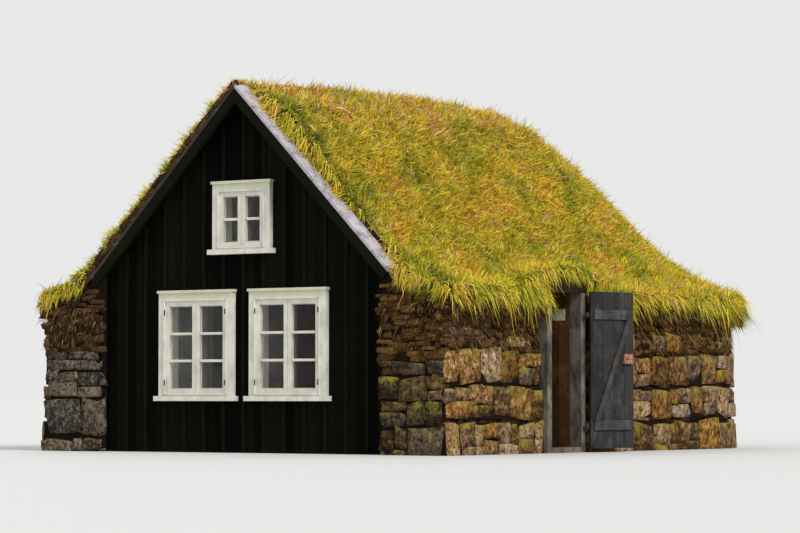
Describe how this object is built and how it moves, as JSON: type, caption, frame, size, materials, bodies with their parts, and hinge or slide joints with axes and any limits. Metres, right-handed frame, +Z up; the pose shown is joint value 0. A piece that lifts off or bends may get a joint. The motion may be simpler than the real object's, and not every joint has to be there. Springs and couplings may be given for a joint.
{
  "type": "turf house",
  "caption": "Turf house with a dark boarded gable, white windows, thick stone and turf side walls, a sagging grass roof and a plank door in the side wall.",
  "frame": {"origin": "middle of the footprint between the side walls, at ground level, on the underside of the middle floor sleeper", "axes": "+X to the right along the gable as seen from in front, +Y from the gable towards the back wall, +Z up"},
  "size_m": [6.0196, 7.29, 4.1411],
  "materials": {
    "masonry": "rough stone and cut turf",
    "turf": "grown turf with long grass",
    "timber": "sawn and bare",
    "tarred_boards": "black wood tar",
    "weathered_wood": "bare and weathered grey",
    "brown_boards": "bare boards, aged brown",
    "grey_door_paint": "matt slate-grey paint",
    "white_paint": "white oil paint, satin",
    "window_glass": "clear",
    "iron": "rusted"
  },
  "bodies": {
    "house": {"left_wall": "masonry", "right_wall_front": "masonry", "right_wall_back": "masonry", "back_wall": "masonry", "turf_left": "turf", "turf_right": "turf", "roof_deck_left": "timber", "roof_deck_right": "timber", "rafters": "timber", "ridge_beam": "timber", "wall_plates": "timber", "wall_posts": "timber", "floor_sleepers": "timber", "ground_floor": "timber", "loft_joists": "timber", "loft_floor": "timber", "gable_frame": "timber", "gable_boarding": "tarred_boards", "gable_cover_strips": "tarred_boards", "bargeboard_left": "tarred_boards", "bargeboard_right": "tarred_boards", "verge_cap_left": "weathered_wood", "verge_cap_right": "weathered_wood", "lower_left_window_frame": "white_paint", "lower_left_window_sashes": "white_paint", "lower_left_window_glass": "window_glass", "lower_right_window_frame": "white_paint", "lower_right_window_sashes": "white_paint", "lower_right_window_glass": "window_glass", "upper_window_frame": "white_paint", "upper_window_sashes": "white_paint", "upper_window_glass": "window_glass", "passage_lintels": "timber", "passage_lining": "brown_boards", "passage_floor": "masonry", "door_post_front": "weathered_wood", "door_post_back": "weathered_wood", "door_head": "weathered_wood", "door_sill": "weathered_wood", "door_pintles": "iron"},
    "door": {"door_leaf": "grey_door_paint", "door_ledges": "grey_door_paint", "door_brace": "grey_door_paint", "door_hinge_straps": "iron", "door_lock": "iron"}
  },
  "joints": [
    {"name": "door_hinge", "type": "hinge", "parent": "house", "child": "door", "pos_m": [2.901, -0.987, 0.9], "axis": [0, 0, 1], "range_deg": [-165, 5]}
  ]
}
